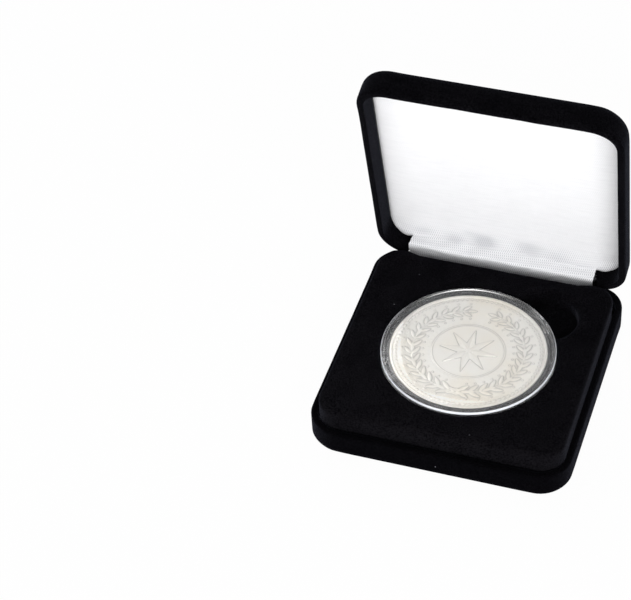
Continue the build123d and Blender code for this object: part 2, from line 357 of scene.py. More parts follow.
def make_satin():
    """White satin: a fine close weave of rows of short floats, a slight sheen, soft slubs, and painted
    shade towards the hinge and in patches.
    """
    material, tree, shader = new_material("satin_white", {
        "Roughness": 0.40, "Specular IOR Level": 0.4, "Sheen Weight": 0.12})
    uv = add_node(tree, "ShaderNodeTexCoord").outputs["UV"]
    turned = add_node(tree, "ShaderNodeMapping", {"Vector": uv, "Rotation": (0, 0, WEAVE_TURN)})
    bands = []
    for scale, direction in ((WARP_SCALE, "X"), (WEFT_SCALE / 2, "Y"), (WEFT_SCALE, "Y")):
        wave = add_node(tree, "ShaderNodeTexWave",
                        {"Vector": turned.outputs[0], "Scale": scale,
                         "Distortion": 0.4, "Detail": 1.0, "Detail Scale": 1.2},
                        wave_type="BANDS", bands_direction=direction)
        bands.append(spread(tree, wave.outputs["Fac"], 0.0, 1.0, -1.0, 1.0))
    staggered = maths(tree, "MULTIPLY", bands[0], bands[1])
    rows = maths(tree, "MULTIPLY", bands[2], 0.2)
    weave = spread(tree, maths(tree, "ADD", staggered, rows), -1.2, 1.2)
    painted_shade = add_node(tree, "ShaderNodeAttribute", attribute_name="painted_shade").outputs["Fac"]
    down = add_node(tree, "ShaderNodeSeparateXYZ", {0: uv}).outputs["Y"]
    # Painted shade towards the hinge, where the satin turns down behind the insert; the shade patches add
    # more
    painted_hinge_shade = maths(tree, "MULTIPLY", spread(tree, down, 25.0, 30.5), 0.75)
    painted_gap_shade = maths(tree, "ADD", painted_hinge_shade, maths(tree, "MULTIPLY", painted_shade, 0.4))
    gap_colour = mix_colour(tree, painted_gap_shade, SATIN_GAP, SATIN_SHADED_GAP)
    shade = mix_colour(tree, weave, gap_colour, SATIN_FLOAT)
    threads = add_node(tree, "ShaderNodeMapping", {"Vector": uv, "Scale": (0.16, 1.6, 1.0)})
    slub = spread(tree, noise(tree, threads.outputs[0], 1.0, 3.0), 0.4, 0.7, 0.0, 0.11)
    # Slubs dull the satin at random; the painted shade patches dull it more
    slub_and_shade = maths(tree, "ADD", slub, maths(tree, "MULTIPLY", painted_shade, 0.6))
    set_inputs(tree, shader, {"Base Color": mix_colour(tree, slub_and_shade, shade, SATIN_DULL_SHADE)})
    add_bump(tree, shader, weave, 0.6, 0.00006)
    return material


def make_coin_silver():
    """Silver with a soft warm toning, and painted shade where the relief meets the field and in its
    hollows.
    """
    material, tree, shader = new_material("coin_silver", {"Metallic": 0.45})
    place = object_place(tree)
    toning = spread(tree, noise(tree, place, 70.0, 3.0), 0.42, 0.66)
    colour = mix_colour(tree, toning, (0.99, 0.965, 0.905, 1), (0.98, 0.925, 0.815, 1))
    # Painted shade along the relief's edges and in its hollows, read from the mesh
    edges = add_node(tree, "ShaderNodeAttribute", attribute_name="painted_relief_shade").outputs["Fac"]
    colour = mix_colour(tree, maths(tree, "MULTIPLY", edges, 0.75), colour, (0.34, 0.32, 0.29, 1))
    rough = spread(tree, noise(tree, place, 260.0, 3.0), 0.3, 0.7, 0.32, 0.38)
    set_inputs(tree, shader, {"Base Color": colour, "Roughness": rough})
    add_bump(tree, shader, noise(tree, place, 9000.0, 2.0), 0.15, 0.00002)
    return material


def make_acrylic(name, haze, smooth, hazy, clear_share=1.0, painted_highlight=False):
    """Acrylic with a haze of scale, detail and start. As a painted highlight it is a white band that
    scatters light, with painted shade in grey where it is seen from inside.
    """
    material, tree, shader = new_material(name, {
        "Base Color": ACRYLIC_CLEAR, "IOR": 1.49, "Transmission Weight": clear_share})
    scale, detail, start = haze
    mottle = noise(tree, object_place(tree), scale, detail)
    set_inputs(tree, shader, {"Roughness": spread(tree, mottle, start, 0.7, smooth, hazy)})
    if painted_highlight:
        inside = tree.nodes.new("ShaderNodeNewGeometry").outputs["Backfacing"]
        set_inputs(tree, shader, {"Base Color": mix_colour(tree, inside, ACRYLIC_HIGHLIGHT, ACRYLIC_INSIDE_SHADE)})
    return material


def make_plain(name, dark, light, roughness, grain_scale, depth, metallic=0.0):
    """A hard material with a fine mottled grain: board, plastic, card or steel."""
    material, tree, shader = new_material(name, {"Metallic": metallic})
    grain = noise(tree, object_place(tree), grain_scale, 4.0, 0.6)
    set_inputs(tree, shader, {
        "Base Color": mix_colour(tree, spread(tree, grain, 0.35, 0.65), dark, light),
        "Roughness": spread(tree, grain, 0.3, 0.7, roughness - 0.08, roughness + 0.08)})
    add_bump(tree, shader, grain, 0.4, depth)
    return material


pile_group = make_pile_group()
# The case's velour is painted darker at the front and the insert's lighter at the front: painted shade and
# painted light for how the lamps fall there
velour = make_velour("velour_black", (0.0054, 0.0051, 0.0062, 1), 0.42, 1.05)
insert_nap = make_velour("velour_insert", (0.0070, 0.0066, 0.0079, 1), 1.5, 0.75)
satin = make_satin()
coin_silver = make_coin_silver()
capsule_clear = make_acrylic("capsule_clear", FINE_HAZE, 0.0, 0.02)
capsule_matte = make_acrylic("capsule_matte", FINE_HAZE, 0.03, 0.06)
# The cover's edge band is a painted highlight: mostly white and scattering, so its front edge looks lit
capsule_edge = make_acrylic("capsule_edge", BROAD_HAZE, 0.5, 0.6, 0.08, True)
shell_plastic = make_plain("shell_plastic", (0.012, 0.012, 0.013, 1), (0.022, 0.022, 0.024, 1),
                           0.45, 700, 0.00002)
insert_board = make_plain("insert_board", (0.30, 0.28, 0.24, 1), (0.42, 0.39, 0.34, 1), 0.85, 900, 0.00005)
card = make_plain("card_grey", (0.34, 0.33, 0.31, 1), (0.46, 0.45, 0.42, 1), 0.88, 1500, 0.00004)
wadding = make_plain("wadding_white", (0.72, 0.72, 0.70, 1), (0.86, 0.86, 0.85, 1), 0.95, 1100, 0.0002)
hinge_steel = make_plain("hinge_steel", (0.035, 0.035, 0.038, 1), (0.06, 0.06, 0.065, 1),
                         0.42, 1200, 0.00001, 1.0)

finishes = [
    (shell_plastic, ["base_shell", "lid_shell"]),
    (velour, ["base_velour", "lid_velour", "insert_velour", "well_lining", "well_floor_velour"]),
    (insert_board, ["insert_block"]),
    (card, ["well_floor_card", "lid_pad_card"]),
    (wadding, ["lid_pad_wadding"]),
    (satin, ["lid_satin", "satin_apron"]),
    (hinge_steel, ["hinge_base_leaf", "hinge_lid_leaf", "hinge_pin", "hinge_springs",
                   "base_leaf_rivets", "lid_leaf_rivets"]),
    (capsule_clear, ["capsule_base", "capsule_cover"]),
    (coin_silver, ["coin"]),
]

for finish, node_names in finishes:
    for node_name in node_names:
        materials = nodes[node_name].data.materials
        materials.clear()
        materials.append(finish)


# ---------- velour wraps

# How far the pile stands out from the case, on its walls and on the rims that meet
PILE = 0.3
PILE_RIM = 0.05
# How deep the velour's inner face lies, and the radii of the rims' lips and of the outer edges
WRAP_INSIDE = 1.5
BASE_LIP = 0.7
LID_LIP = 0.3
RIM_ROUND = 0.9
FOOT_ROUND = 0.8
LID_ROUND = 4.1
# The velour's slight unevenness, and how the base's left and right sides stand out or in
WRAP_WAVE = 0.05
SIDE_START = 28.0
BASE_LEFT_OUT = 0.35
BASE_RIGHT_IN = 0.18
# At the back, the base's rim rises to a tongue behind the hinge, and the lid's rim leaves it a slot
BACK_WALL = 30.0
TONGUE_SIDE = (25.68, 25.88)
TONGUE_RISE = 2.1
SLOT_SIDES = [25.1, 25.3, 25.85, 26.05]
SLOT_CEILING = [11.5, 9.6, 9.4]
SLOT_REACH = 12.1
# The lid's first rings form its inner wall, whose pile is a little thicker at the front and at the right
LID_INNER_RINGS = 11
INNER_PILE_FRONT = 0.30
INNER_PILE_RIGHT = 0.10
# How far corners are softer or squarer than the plain outline: side of x, side of y, inward shift
LID_CORNERS = [(1, -1, 0.58), (-1, -1, -0.75), (-1, 1, 0.35)]
BASE_CORNERS = [(1, 1, -0.4), (-1, 1, -0.5), (-1, -1, 0.45), (1, -1, 0.25)]
CORNER_START_X = 22.0
CORNER_START_Y = 23.0
INNER_CORNER_SHARE = 0.4
PAD_CORNER_SHARE = 0.5

half_places = [25.55, 25.4, 25.25, 25.1, 24.8, 24.0, 22.0, 19.0, 16.0, 13.0, 10.0, 7.0, 4.0, 1.0]
hinge_places = half_places + [-x for x in reversed(half_places)]
case_outline = rounded_outline(CASE_HALF_X, CASE_HALF_Y, CASE_CORNER, back_places=hinge_places)


def wrap_rings(outline, section, levels):
    """Rings for a section of (inset, z) pairs, then rings over the flat face towards its middle."""
    rings = [ring_at(outline, inset, z) for inset, z in section]
    last = rings[-1]
    for level in range(1, levels):
        smaller = last.copy()
        smaller[:, :2] *= 1 - level / levels
        rings.append(smaller)
    return rings


def fit_corners(points, corners, share=1.0):
    """Move points near the case's corners a little along the diagonals."""
    moved = points.copy()
    for side_x, side_y, inward in corners:
        near = smooth_step(side_x * points[:, 0], CORNER_START_X, CASE_HALF_X)
        near = near * smooth_step(side_y * points[:, 1], CORNER_START_Y, CASE_HALF_Y)
        shift = inward * share * near / math.sqrt(2)
        moved[:, 0] -= side_x * shift
        moved[:, 1] -= side_y * shift
    return moved


def make_base_wrap():
    side = -PILE
    rim = BASE_RIM + PILE_RIM
    section = [(WRAP_INSIDE, z) for z in (3.5, 4.6, 5.6, rim - BASE_LIP)]
    section += arc(WRAP_INSIDE - BASE_LIP, rim - BASE_LIP, BASE_LIP, 0, 90, 6)[1:]
    section += arc(side + RIM_ROUND, rim - RIM_ROUND, RIM_ROUND, 90, 180, 7)
    section += [(side, z) for z in (5.2, 4.2, 3.2, 2.4, 1.6)]
    section += arc(side + FOOT_ROUND, FOOT_ROUND, FOOT_ROUND, 180, 270, 7)[1:]
    section += [(2.4, 0.0), (4.5, 0.0)]
    rings = wrap_rings(case_outline, section, 14)
    points = np.vstack([*rings, (0, 0, 0)])
    x, y, z = points.T
    raised = (1 - smooth_step(np.abs(x), *TONGUE_SIDE)) * (y > BACK_WALL)
    z += TONGUE_RISE * smooth_step(z, 5.0, 6.4) * raised
    faces = skin_faces(len(rings), len(rings[0]), False, True)
    shape = points.copy()
    shape[:, 2] += np.where(z > 1.0, WRAP_WAVE * waves(points, 7.0, 3), 0)
    shape[:, 0] -= BASE_LEFT_OUT * smooth_step(-x, SIDE_START, CASE_HALF_X)
    shape[:, 0] -= BASE_RIGHT_IN * smooth_step(x, SIDE_START, CASE_HALF_X)
    piece = make_piece("base_wrap", fit_corners(shape, BASE_CORNERS), faces, velour)
    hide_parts("base_velour")
    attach(piece, "base")


def make_lid_wrap():
    side = -PILE
    rim = LID_RIM - PILE_RIM
    top = LID_TOP + PILE
    section = [(WRAP_INSIDE, z) for z in (13.9, 12.6, 11.2, 9.8, 8.8, rim + LID_LIP)]
    section += arc(WRAP_INSIDE - LID_LIP, rim + LID_LIP, LID_LIP, 0, -90, 6)[1:]
    section += arc(side + RIM_ROUND, rim + RIM_ROUND, RIM_ROUND, 270, 180, 7)
    section += [(side, z) for z in (8.9, 9.8, 10.9, top - LID_ROUND)]
    section += arc(side + LID_ROUND, top - LID_ROUND, LID_ROUND, 180, 90, 12)[1:]
    section += [(5.0, top), (6.2, top)]
    rings = wrap_rings(case_outline, section, 16)
    points = np.vstack([*rings, (0, 0, top)])
    x, y, z = points.T
    ceiling = np.interp(np.abs(x), SLOT_SIDES, SLOT_CEILING + [rim])
    above = np.clip((z - rim) / (SLOT_REACH - rim), 0, 1)
    z += (ceiling - rim) * (1 - above) * (y > BACK_WALL)
    faces = skin_faces(len(rings), len(rings[0]), False, True)
    shape = points.copy()
    shape[:, 2] += WRAP_WAVE * waves(points, 8.0, 5) * (z < 15.0)
    lip = 1 - smooth_step(z, 8.6, 12.5)
    inner_side = np.arange(len(points)) < LID_INNER_RINGS * len(rings[0])
    shape[:, 1] += INNER_PILE_FRONT * lip * inner_side * (1 - smooth_step(y, -33.2, -30.0))
    shape[:, 0] -= INNER_PILE_RIGHT * lip * inner_side * smooth_step(x, 28.5, 31.8)
    shape = np.where(inner_side[:, None], fit_corners(shape, LID_CORNERS, INNER_CORNER_SHARE),
                     fit_corners(shape, LID_CORNERS))
    piece = make_piece("lid_wrap", swing_open(shape), faces, velour)
    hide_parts("lid_velour")
    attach(piece, "lid")


# ---------- the insert's velour

# Radii of the notch's and the well's upper edge, of their floor's edge and of the insert's outer edge
NOTCH_SOFT = 1.5
WELL_SOFT = 0.55
FLOOR_ROUND = 0.9
INSERT_EDGE = 1.2
BACK_SHARPER = 0.7
# Heights of the rings up the insert's wall
INSERT_WALL = (1.3, 3.5, 5.5, 6.6, 7.4, 8.2, 9.2, 10.2)
# How the velour sags between the edges, how uneven it is, and how its back corners stand out
INSERT_SAG = 0.10
INSERT_WAVE = 0.06
BACK_CORNER_OUT = (0.30, 0.25)
# The back's step behind the apron starts at this y; its ends stand out a little and dip a little
RELIEF_START = 22.0
BACK_END_OUT = 0.20
BACK_END_DENT = 0.38


def opening_outline(steps=420):
    """The well and the thumb notch as one closed line, with its outward normals and edge radii."""
    gap = math.hypot(NOTCH[0] - WELL[0], NOTCH[1] - WELL[1])
    toward = math.atan2(NOTCH[1] - WELL[1], NOTCH[0] - WELL[0])
    meet = math.acos((WELL_RADIUS ** 2 + gap ** 2 - NOTCH_RADIUS ** 2) / (2 * WELL_RADIUS * gap))
    own = math.acos((NOTCH_RADIUS ** 2 + gap ** 2 - WELL_RADIUS ** 2) / (2 * NOTCH_RADIUS * gap))
    well_span = 2 * (math.pi - meet)
    notch_span = 2 * (math.pi - own)
    well_length = well_span * WELL_RADIUS
    notch_length = notch_span * NOTCH_RADIUS
    notch_steps = int(steps * notch_length / (notch_length + well_length))
    arcs = [(NOTCH, NOTCH_RADIUS, toward - notch_span / 2, notch_span, notch_steps, NOTCH_SOFT),
            (WELL, WELL_RADIUS, toward + meet, well_span, steps - notch_steps, WELL_SOFT)]
    points = []
    normals = []
    soft = []
    for centre, radius, start, span, count, edge in arcs:
        angles = start + span * (np.arange(count) + 0.5) / count
        outward = np.column_stack([np.cos(angles), np.sin(angles)])
        points.append(np.array(centre) + radius * outward)
        normals.append(outward)
        soft.append(np.full(count, edge))
    return np.vstack(points), np.vstack(normals), np.concatenate(soft)


def smooth_loop(values, passes):
    """Average a closed loop of values with its neighbours."""
    for _ in range(passes):
        values = (np.roll(values, 1, axis=0) + 2 * values + np.roll(values, -1, axis=0)) / 4
    return values


def insert_reach(directions):
    """Where rays from the well's centre leave the insert's outline, with the outward normals there."""
    half_y = (INSERT_BACK - INSERT_FRONT) / 2
    cores, normals, radius = rounded_outline(INSERT_HALF_X, half_y, INSERT_CORNER, 40, 200)
    flat = cores + normals * radius + (0, (INSERT_BACK + INSERT_FRONT) / 2)
    angles = np.arctan2(flat[:, 1] - WELL[1], flat[:, 0] - WELL[0])
    wanted = np.arctan2(directions[:, 1], directions[:, 0])
    ends = []
    for values in (flat, normals):
        columns = [np.interp(wanted, angles, column, period=2 * math.pi) for column in values.T]
        ends.append(np.column_stack(columns))
    return ends


def relief_shift(points):
    """The insert's back steps in a little behind the satin apron, less so at the ends of its top edge."""
    x, y, z = points.T
    across = np.abs(x)
    high = smooth_step(z, 9.0, 10.8)
    inner = 25.7 - 4.2 * high
    outer = 26.3 - 1.4 * high
    inside = 1 - smooth_step((across - inner) / (outer - inner), 0, 1)
    near = np.clip((y - RELIEF_START) / (INSERT_BACK - RELIEF_START), 0, 1)
    y = y - RELIEF_DEPTH * inside * near + BACK_END_OUT * (1 - inside) * smooth_step(near, 0.7, 1.0) * high
    ends = smooth_step(across, 22.6, 24.0) * (1 - smooth_step(across, 27.5, 29.5))
    z = z - BACK_END_DENT * ends * smooth_step(y, 27.6, 28.9) * high
    return np.column_stack([x, y, z])


def make_insert_cover():
    rim, rim_normals, soft = opening_outline()
    rim_normals = smooth_loop(rim_normals, 4)
    rim_normals /= np.linalg.norm(rim_normals, axis=1)[:, None]
    soft = smooth_loop(soft, 12)[:, None]
    rim = smooth_loop(rim, 2)
    well = np.array(WELL)
    outer, outer_normals = insert_reach(rim - well)
    edge = INSERT_EDGE - BACK_SHARPER * smooth_step(outer[:, 1], 27.5, 29.2)
    quarter = np.radians(np.linspace(0, 90, 8))
    rings = [level_ring(outer, z) for z in INSERT_WALL]
    for angle in quarter:
        flat = outer - outer_normals * edge[:, None] * (1 - math.cos(angle))
        rings.append(level_ring(flat, INSERT_TOP - edge + edge * math.sin(angle)))
    start = rings[-1][:, :2]
    end = rim + rim_normals * soft
    for part in np.linspace(0, 1, 13)[1:]:
        sag = INSERT_SAG * math.sin(math.pi * part) ** 2
        rings.append(level_ring(start + (end - start) * part, INSERT_TOP - sag))
    for angle in quarter[1:]:
        flat = end - rim_normals * soft * math.sin(angle)
        rings.append(level_ring(flat, INSERT_TOP - soft[:, 0] * (1 - math.cos(angle))))
    top = rings[-1][:, 2]
    foot = NOTCH_FLOOR + FLOOR_ROUND
    for part in (0.2, 0.4, 0.6, 0.8):
        rings.append(level_ring(rim, top + (foot - top) * part))
    for angle in np.radians(np.linspace(0, 90, 6)):
        flat = rim - rim_normals * FLOOR_ROUND * (1 - math.cos(angle))
        rings.append(level_ring(flat, foot - FLOOR_ROUND * math.sin(angle)))
    last = rings[-1][:, :2]
    for part in (0.9, 0.75):
        rings.append(level_ring(well + (last - well) * part, NOTCH_FLOOR))
    points = relief_shift(np.vstack(rings))
    x, y, z = points.T
    above = smooth_step(z, 8.0, 11.0)
    z += INSERT_WAVE * above * waves(points, 9.0, 11)
    squarer = smooth_step(np.abs(x), 24.0, 31.5) * smooth_step(y, 21.0, 29.0) * above
    x += BACK_CORNER_OUT[0] * squarer * np.sign(x)
    y += BACK_CORNER_OUT[1] * squarer
    piece = make_piece("insert_cover", points, skin_faces(len(rings), len(rim)), insert_nap)
    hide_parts("insert_velour", "well_lining", "well_floor_velour")
    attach(piece, "base")


# ---------- the satin

PAD_HALF_X = 31.95
PAD_HALF_Y = 32.95
PAD_CORNER = 5.6
# The radius of the pad's edge, its crown and how far in that reaches, and its unevenness
PAD_EDGE = 0.6
PAD_CROWN = 0.35
PAD_CROWN_REACH = 9.0
PAD_WAVE = 0.02
# The lower lip stands out by a depth at each y, by a share at each x: most over the hinge
PAD_LIP = [(24.0, 0.0), (26.0, 0.05), (27.2, 0.30), (28.2, 0.62), (29.2, 1.15), (30.15, 1.75),
           (31.0, 2.15), (31.8, 2.25), (32.95, 2.0)]
LIP_SHARE = [(23.5, 1.0), (26.0, 0.88), (27.5, 0.77), (29.5, 0.58), (31.0, 0.42), (32.0, 0.3)]
HINGE_ROOM = 0.65
# The pad's cloth is held within this distance of its edge and blown up lightly
PAD_HELD = 0.9
PAD_PRESSURE = 1.0
# Cloth settles at this many times its real size, with these settings
CLOTH_SCALE = 20.0
CLOTH = {"quality": 6, "mass": 0.25, "tension_stiffness": 25, "compression_stiffness": 12,
         "shear_stiffness": 8, "bending_stiffness": 0.35, "use_pressure": True, "vertex_group_mass": "held"}


def side_place(part, half_here, half_next, radius):
    """A place along one side of a rounded rectangle, from the middle of one corner to the next."""
    straight = half_next - radius
    along = part * (straight + radius * math.pi / 4)
    if abs(along) <= straight:
        return half_here, along
    angle = (abs(along) - straight) / radius
    reach = half_here - radius + radius * math.cos(angle)
    return reach, math.copysign(straight + radius * math.sin(angle), along)


def pad_grid(cells):
    """A square grid bent to the pad's rounded rectangle: (cells + 1) squared flat points."""
    halves = (PAD_HALF_X, PAD_HALF_Y)
    flat = np.zeros((cells + 1, cells + 1, 2))
    for i, j in np.ndindex(cells + 1, cells + 1):
        place = (2 * i / cells - 1, 2 * j / cells - 1)
        size = max(abs(place[0]), abs(place[1]))
        if size == 0:
            continue
        here = 0 if abs(place[0]) >= abs(place[1]) else 1
        other = 1 - here
        reach, along = side_place(place[other] / size, halves[here] * size, halves[other] * size,
                                  PAD_CORNER * size ** 3)
        flat[i, j, here] = math.copysign(reach, place[here])
        flat[i, j, other] = along
    return flat.reshape(-1, 2)


def grid_faces(columns, rows):
    faces = []
    for i in range(columns - 1):
        for j in range(rows - 1):
            a = i * rows + j
            faces.append((a, a + 1, a + rows + 1, a + rows))
    return faces


def pad_inset(flat):
    """How far inside the pad's outline each flat point lies."""
    dx = np.abs(flat[:, 0]) - (PAD_HALF_X - PAD_CORNER)
    dy = np.abs(flat[:, 1]) - (PAD_HALF_Y - PAD_CORNER)
    return PAD_CORNER - (np.hypot(np.maximum(dx, 0), np.maximum(dy, 0)) + np.minimum(np.maximum(dx, dy), 0))


def set_weave_map(piece, flat):
    """A UV map in millimetres, so that the weave keeps its size and direction."""
    mesh = piece.data
    layer = mesh.uv_layers.new(name="weave")
    index = np.zeros(len(mesh.loops), int)
    mesh.loops.foreach_get("vertex_index", index)
    layer.data.foreach_set("uv", np.asarray(flat, float)[index].ravel())


def settle_cloth(points, faces, held, slack, pressure, frames, most):
    """Let a cloth settle with Blender's simulation, each point by at most the given millimetres."""
    start = np.asarray(points, float)
    mesh = bpy.data.meshes.new("settling_cloth")
    mesh.from_pydata((start * MM * CLOTH_SCALE).tolist(), [], faces)
    cloth = add_object("settling_cloth", mesh)
    group = cloth.vertex_groups.new(name="held")
    group.add([int(i) for i in np.flatnonzero(held)], 1.0, "REPLACE")
    modifier = cloth.modifiers.new("Cloth", "CLOTH")
    settings = modifier.settings
    for key, value in CLOTH.items():
        setattr(settings, key, value)
    settings.shrink_min = -slack
    settings.uniform_pressure_force = pressure
    settings.effector_weights.gravity = 0
    modifier.collision_settings.use_collision = False
    modifier.point_cache.frame_start = 1
    modifier.point_cache.frame_end = frames
    for number in range(1, frames + 1):
        scene.frame_set(number)
    graph = bpy.context.evaluated_depsgraph_get()
    settled = cloth.evaluated_get(graph).to_mesh()
    places = np.zeros(len(settled.vertices) * 3)
    settled.vertices.foreach_get("co", places)
    scene.frame_set(1)
    bpy.data.objects.remove(cloth)
    bpy.data.meshes.remove(mesh)
    moves = places.reshape(-1, 3) / (MM * CLOTH_SCALE) - start
    length = np.linalg.norm(moves, axis=1)[:, None]
    return start + moves * np.minimum(1, most / np.maximum(length, 1e-9))


def pad_face(flat):
    """The height of the padded satin's face over the shut lid's hollow."""
    inside = np.clip(pad_inset(flat), 0, None)
    roll = np.clip(inside / PAD_EDGE, 0, 1)
    z = SATIN_FACE + PAD_EDGE * (1 - np.sqrt(np.clip(1 - (1 - roll) ** 2, 0, 1)))
    crown = smooth_step(inside, 0, PAD_CROWN_REACH)
    z -= PAD_CROWN * crown
    z -= PAD_WAVE * waves(level_ring(flat, 0.0), 14.0, 21) * crown
    lip = np.interp(flat[:, 1], *np.array(PAD_LIP).T)
    return z - lip * np.interp(np.abs(flat[:, 0]), *np.array(LIP_SHARE).T)


# Patches of painted shade on the satin near the hinge, which darken its weave's gaps and dull it: x, y,
# width, height, strength
PAINTED_SHADE_SPOTS = [(-5.3, 29.0, 2.7, 1.7, 1.5), (-13.5, 29.8, 2.6, 1.4, 0.8), (6.9, 28.8, 3.2, 1.8, 0.8),
           (-22.0, 28.9, 2.8, 1.0, 0.6), (14.5, 29.6, 3.6, 1.5, 0.45), (-9.5, 27.4, 2.0, 1.0, 0.25)]


def mark_painted_shade(piece, flat):
    """Note on the mesh where the satin gets painted shade, for its material to read."""
    amount = np.zeros(len(flat))
    for x, y, width, height, strength in PAINTED_SHADE_SPOTS:
        amount += strength * bell(flat[:, 0], x, width) * bell(flat[:, 1], y, height)
    mark_points(piece, "painted_shade", np.clip(amount, 0, 1))


def make_satin_pad():
    cells = 96
    flat = pad_grid(cells)
    x, y = flat.T
    points = level_ring(flat, pad_face(flat))
    points[:, 1] -= HINGE_ROOM * (1 - smooth_step(np.abs(x), 25.4, 27.4)) * smooth_step(y, 29.0, 32.8)
    faces = grid_faces(cells + 1, cells + 1)
    settled = settle_cloth(points, faces, pad_inset(flat) < PAD_HELD, 0.008, PAD_PRESSURE, 18, 0.25)
    settled[:, 2] = np.minimum(settled[:, 2], points[:, 2] + 0.02)
    shape = fit_corners(settled, LID_CORNERS, PAD_CORNER_SHARE)
    piece = make_piece("satin_pad", swing_open(shape), faces, satin)
    set_weave_map(piece, flat)
    mark_painted_shade(piece, flat)
    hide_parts("lid_satin")
    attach(piece, "lid")


APRON_WIDTH = 50.1
# The apron's line: y of its points on the shut lid's pad, then (y, z) of its points down behind the insert
APRON_TOP = [26.6, 27.6, 28.6, 29.4, 30.0]
APRON_DROP = [(33.5, 13.75), (32.85, 13.3), (32.25, 12.95), (31.75, 12.65), (31.4, 12.3), (31.3, 11.85),
              (31.4, 11.2), (31.65, 10.3), (31.75, 9.4), (31.5, 8.4), (30.9, 7.4), (30.0, 6.4),
              (29.2, 5.4), (28.8, 4.5), (28.75, 3.1)]
# How far its fold rises towards the left and sinks towards the right
FOLD_UP_LEFT = 0.7
FOLD_DOWN_RIGHT = 0.40
# The apron's side edges: height, left edge, right edge
APRON_SIDES = [(3.0, -24.6, 24.4), (9.0, -25.3, 24.7), (10.5, -25.72, 24.7), (11.4, -25.6, 24.75),
               (12.7, -25.55, 24.95), (13.6, -25.1, 25.1), (14.8, -24.85, 25.0), (18.5, -24.85, 25.0)]
# The apron's unevenness, and the share of its length between which it is free to settle
APRON_WAVE = 0.03
APRON_LOOSE = (0.20, 0.62)


def resample(path, steps, smooth=3):
    """Points spaced evenly along a smooth line through the given ones, and the line's length."""
    path = np.array(path, float)
    for _ in range(smooth):
        middle = (path[:-1] + path[1:]) / 2
        mixed = np.empty((len(path) + len(middle), path.shape[1]))
        mixed[0::2] = path
        mixed[1::2] = middle
        mixed[1:-1] = (mixed[:-2] + 2 * mixed[1:-1] + mixed[2:]) / 4
        path = mixed
    steps_length = np.linalg.norm(np.diff(path, axis=0), axis=1)
    along = np.concatenate([[0], np.cumsum(steps_length)])
    wanted = np.linspace(0, along[-1], steps + 1)
    line = np.column_stack([np.interp(wanted, along, path[:, k]) for k in range(path.shape[1])])
    return line, along[-1]


# Soft dents where the satin is stuck down: x, share of the way down, width, height, depth
APRON_DENTS = [(-9.5, 0.30, 2.4, 0.06, 0.10), (-5.3, 0.16, 2.4, 0.08, 0.14), (2.6, 0.28, 1.8, 0.05, 0.08),
               (6.9, 0.16, 2.6, 0.07, 0.12), (15.2, 0.24, 3.0, 0.07, 0.08), (-17.0, 0.28, 3.0, 0.06, 0.08),
               (20.8, 0.30, 2.2, 0.05, 0.08)]


def apron_column(x, rows):
    """The apron's line at one x: down the pad's lower lip, over a soft fold, and down behind the insert."""
    on_pad = np.array([(x, y) for y in APRON_TOP])
    face = swing_open(level_ring(on_pad, pad_face(on_pad) - 0.03))
    drop = np.array(APRON_DROP)
    drop[:, 0] += 0.35 * smooth_step(abs(x), 21.0, 25.5) * smooth_step(drop[:, 1], 12.2, 13.2)
    over_fold = smooth_step(drop[:, 1], 9.0, 11.0)
    near_nose = over_fold * (1 - smooth_step(drop[:, 1], 12.4, 13.7))
    drop[:, 1] += FOLD_UP_LEFT * (1 - smooth_step(x, -25.5, -11.0)) * near_nose
    drop[:, 1] -= FOLD_DOWN_RIGHT * smooth_step(x, -8.0, 22.0) * over_fold
    return resample(np.vstack([face[:, 1:], drop]), rows)


def make_satin_apron():
    rows = 72
    columns = 128
    share = np.arange(rows + 1) / rows
    places = np.linspace(-APRON_WIDTH / 2, APRON_WIDTH / 2, columns + 1)
    heights, lefts, rights = np.array(APRON_SIDES).T
    sheet = []
    for x in places:
        line, length = apron_column(x, rows)
        slope = np.gradient(line, axis=0)
        slope /= np.linalg.norm(slope, axis=1)[:, None]
        push = np.zeros(rows + 1)
        for place, at, width, height, depth in APRON_DENTS:
            push -= depth * bell(x, place, width) * bell(share, at, height)
        push *= smooth_step(share, 0.02, 0.12) * (1 - smooth_step(share, 0.5, 0.6))
        line = line + np.column_stack([slope[:, 1], -slope[:, 0]]) * push[:, None]
        left = np.interp(line[:, 1], heights, lefts)
        right = np.interp(line[:, 1], heights, rights)
        sheet.append(np.column_stack([left + (right - left) * (x / APRON_WIDTH + 0.5), line]))
    points = np.vstack(sheet)
    wide = np.repeat(places, rows + 1)
    down = np.tile(share, columns + 1)
    loose = smooth_step(down, 0.12, 0.25) * (1 - smooth_step(down, 0.5, 0.62))
    points[:, 2] += APRON_WAVE * loose * waves(np.column_stack([wide, down * length, down]), 6.0, 31)
    faces = grid_faces(columns + 1, rows + 1)
    held = (down < APRON_LOOSE[0]) | (down > APRON_LOOSE[1])
    settled = settle_cloth(points, faces, held, 0.003, 0.0, 14, 0.15)
    piece = make_piece("satin_apron_cloth", settled, faces, satin)
    flat = np.column_stack([wide, APRON_TOP[0] + down * length])
    set_weave_map(piece, flat)
    mark_painted_shade(piece, flat)
    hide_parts("satin_apron")
    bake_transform(piece)


# ---------- the coin

# How deep the field lies under the rim, and how many points a ring of the coin has
FIELD = 0.33
AROUND = 720
# The coin's edge from face to side: radius, height over the field, share of the reeds
COIN_EDGE = [(19.42, FIELD * 0.35, 0), (19.52, FIELD * 0.8, 0), (19.64, FIELD, 0), (19.9, FIELD, 0),
             (20.12, FIELD - 0.03, 0), (20.26, FIELD - 0.12, 1), (20.3, FIELD - 0.3, 1)]
REED_DEPTH = 0.03
REED_COUNT = 144
